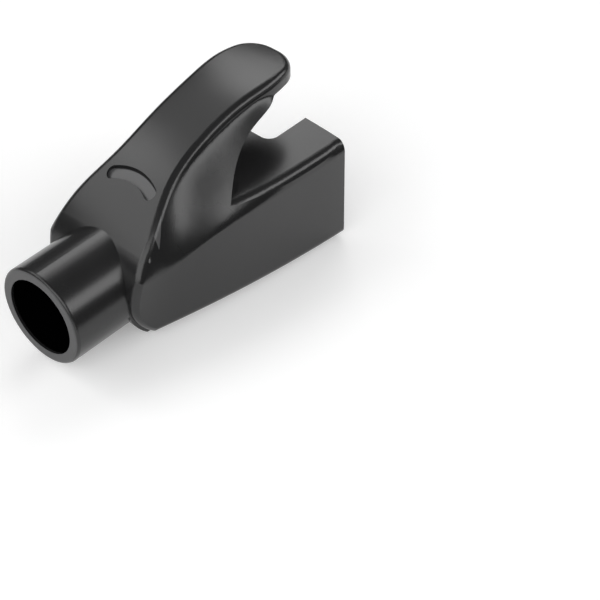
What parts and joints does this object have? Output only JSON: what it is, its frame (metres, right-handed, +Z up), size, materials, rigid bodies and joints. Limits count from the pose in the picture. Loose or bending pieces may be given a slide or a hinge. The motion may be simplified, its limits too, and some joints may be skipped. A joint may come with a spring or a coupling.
{
  "type": "rj45 strain relief boot",
  "caption": "Slip-on strain relief boot for an 8P8C network plug: square plug socket, cable sleeve and a guard over the plug's latch lever.",
  "frame": {"origin": "on the flat face, below the middle of the overall length", "axes": "+X along the cable towards the plug mouth, +Y across, +Z up from the flat face to the latch guard"},
  "size_m": [0.0276, 0.015, 0.0164],
  "materials": {
    "soft_pvc": "satin"
  },
  "bodies": {
    "root": {"boot": "soft_pvc"}
  },
  "joints": []
}
